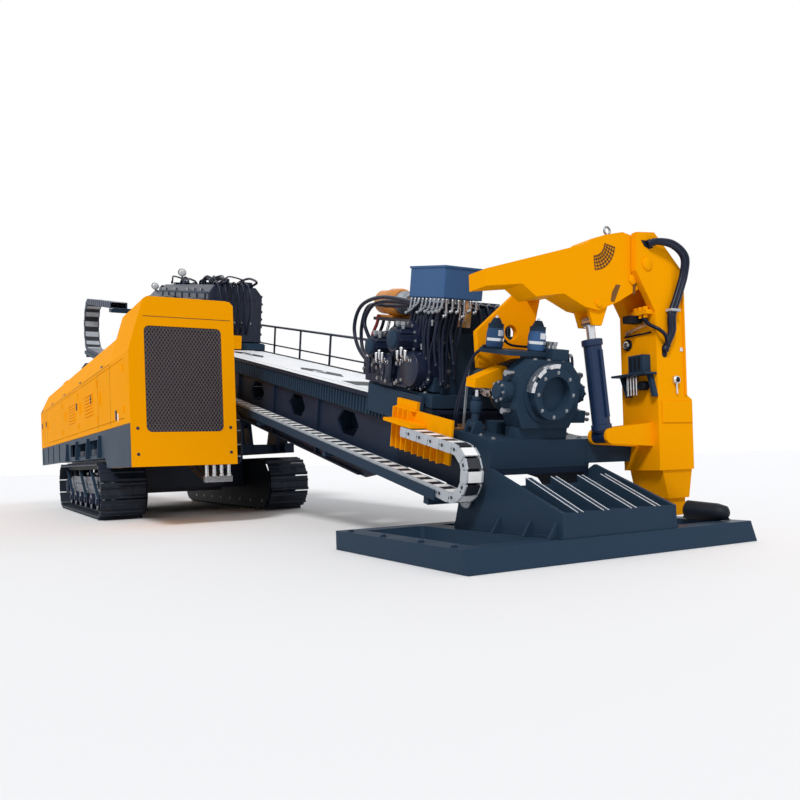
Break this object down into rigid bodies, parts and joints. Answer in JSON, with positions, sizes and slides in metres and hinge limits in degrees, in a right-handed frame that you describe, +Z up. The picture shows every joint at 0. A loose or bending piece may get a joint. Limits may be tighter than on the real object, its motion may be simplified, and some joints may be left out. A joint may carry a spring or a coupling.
{
  "type": "horizontal directional drill",
  "caption": "Tracked horizontal directional drill: inclined mast with two carriages on its deck, engine house along the right side, rod crane, vises and an anchor plate at the front.",
  "frame": {"origin": "floor level, under the middle of the machine's bounding box", "axes": "+X the way the drill points, +Y the machine's left, +Z up"},
  "size_m": [18, 4.1, 5.0988],
  "materials": {
    "orange": "semi-gloss",
    "slate": "satin",
    "black": "satin",
    "blue": "satin",
    "track_steel": "worn",
    "chain_grey": "matte",
    "bright_steel": "machined"
  },
  "bodies": {
    "chassis": {"main_frame": "slate", "undercarriage": "black", "track_frame_right": "black", "track_frame_left": "black", "track_right": "track_steel", "track_left": "track_steel", "drive_sprocket_right": "track_steel", "drive_sprocket_left": "track_steel", "house_shell": "orange", "front_grille": "black", "side_skirt": "slate", "engine_block": "black", "exhaust_cap": "slate"},
    "side_door_1": {"side_door_1": "orange"},
    "side_door_2": {"side_door_2": "orange"},
    "side_door_3": {"side_door_3": "orange"},
    "side_door_4": {"side_door_4": "orange"},
    "mast": {"mast_beam": "slate", "walkway": "slate", "railing": "black", "front_chain_tray": "slate", "rear_chain_tray": "slate", "vise_bed": "slate", "front_vise": "slate", "crane_column": "orange"},
    "lift_barrels": {"lift_barrel_right": "slate", "lift_barrel_left": "slate"},
    "lift_rods": {"lift_rod_right": "bright_steel", "lift_rod_left": "bright_steel"},
    "anchor": {"anchor_plate": "slate", "anchor_wedge": "slate"},
    "front_carriage": {"carriage_bed": "slate", "gearbox": "slate", "power_box": "blue", "feed_motors": "black", "chain_bracket": "orange", "front_chain": "chain_grey"},
    "spindle": {"spindle": "bright_steel"},
    "rear_carriage": {"rear_carriage_bed": "slate", "rear_power_pack": "black", "rear_chain": "chain_grey"},
    "rear_vise": {"rear_vise": "orange"},
    "breakout_barrel": {"breakout_barrel": "slate"},
    "breakout_rod": {"breakout_rod": "bright_steel"},
    "boom": {"crane_boom": "orange"},
    "luff_barrel": {"luff_barrel": "slate"},
    "luff_rod": {"luff_rod": "bright_steel"},
    "jaw": {"rod_jaw": "orange"}
  },
  "joints": [
    {"name": "mast_tilt", "type": "hinge", "parent": "chassis", "child": "mast", "pos_m": [0.7536, 0.55, 1.49169], "axis": [0, 1, 0], "range_deg": [-12, 0]},
    {"name": "lift_barrel_swing", "type": "hinge", "parent": "chassis", "child": "lift_barrels", "pos_m": [-2.6, 0.55, 1.26], "axis": [0, 1, 0], "range_deg": [-31.6, 0.5]},
    {"name": "lift_rod_slide", "type": "slide", "parent": "lift_barrels", "child": "lift_rods", "axis": [-0.7649, 0, 0.6441], "range_m": [-0.345, 0.005]},
    {"name": "anchor_pitch", "type": "hinge", "parent": "mast", "child": "anchor", "pos_m": [7.73687, 0.55, 0.43673], "axis": [0, 1, 0], "range_deg": [0, 12]},
    {"name": "front_feed", "type": "slide", "parent": "mast", "child": "front_carriage", "axis": [0.9781, 0, -0.2079], "range_m": [-4.8, 0]},
    {"name": "spindle_turn", "type": "hinge", "parent": "front_carriage", "child": "spindle", "pos_m": [7.19869, 0.55, 1.51213], "axis": [0.9781, 0, -0.2079], "continuous": true},
    {"name": "rear_feed", "type": "slide", "parent": "mast", "child": "rear_carriage", "axis": [0.9781, 0, -0.2079], "range_m": [0, 1]},
    {"name": "rear_vise_turn", "type": "hinge", "parent": "mast", "child": "rear_vise", "pos_m": [7.60951, 0.55, 1.4248], "axis": [-0.9781, 0, 0.2079], "range_deg": [0, 12]},
    {"name": "breakout_barrel_swing", "type": "hinge", "parent": "mast", "child": "breakout_barrel", "pos_m": [7.65724, 0.09, 1.07217], "axis": [0.9781, 0, -0.2079], "range_deg": [-1, 0.2]},
    {"name": "breakout_rod_slide", "type": "slide", "parent": "breakout_barrel", "child": "breakout_rod", "axis": [0.2079, 0, 0.9781], "range_m": [-0.001, 0.1]},
    {"name": "boom_luff", "type": "hinge", "parent": "mast", "child": "boom", "pos_m": [8.18, 1.52, 2.467], "axis": [-1, 0, 0], "range_deg": [0, 25]},
    {"name": "luff_barrel_swing", "type": "hinge", "parent": "mast", "child": "luff_barrel", "pos_m": [8.18, 1.1, 0.94], "axis": [1, 0, 0], "range_deg": [-0.2, 6.5]},
    {"name": "luff_rod_slide", "type": "slide", "parent": "luff_barrel", "child": "luff_rod", "axis": [0, -0.1077, 0.9942], "range_m": [-0.001, 0.3]},
    {"name": "jaw_swing", "type": "hinge", "parent": "boom", "child": "jaw", "pos_m": [7.54, 0.84, 2.307], "axis": [1, 0, 0], "range_deg": [-20, 20]},
    {"name": "side_door_1_swing", "type": "hinge", "parent": "chassis", "child": "side_door_1", "pos_m": [2.7197, -1.99, 1.83], "axis": [0, 0, 1], "range_deg": [0, 90]},
    {"name": "side_door_2_swing", "type": "hinge", "parent": "chassis", "child": "side_door_2", "pos_m": [0.5197, -1.99, 1.83], "axis": [0, 0, 1], "range_deg": [0, 90]},
    {"name": "side_door_3_swing", "type": "hinge", "parent": "chassis", "child": "side_door_3", "pos_m": [-1.6803, -1.99, 1.83], "axis": [0, 0, 1], "range_deg": [0, 90]},
    {"name": "side_door_4_swing", "type": "hinge", "parent": "chassis", "child": "side_door_4", "pos_m": [-4.1003, -1.99, 1.83], "axis": [0, 0, 1], "range_deg": [0, 90]}
  ],
  "couplings": [
    {"joint": "lift_barrel_swing", "follows": "mast_tilt", "ratio": 2.6172},
    {"joint": "lift_rod_slide", "follows": "mast_tilt", "m_per_rad": 1.6163},
    {"joint": "breakout_barrel_swing", "follows": "rear_vise_turn", "ratio": -0.0684},
    {"joint": "breakout_rod_slide", "follows": "rear_vise_turn", "m_per_rad": 0.4589},
    {"joint": "luff_barrel_swing", "follows": "boom_luff", "ratio": 0.238},
    {"joint": "luff_rod_slide", "follows": "boom_luff", "m_per_rad": 0.6771}
  ]
}
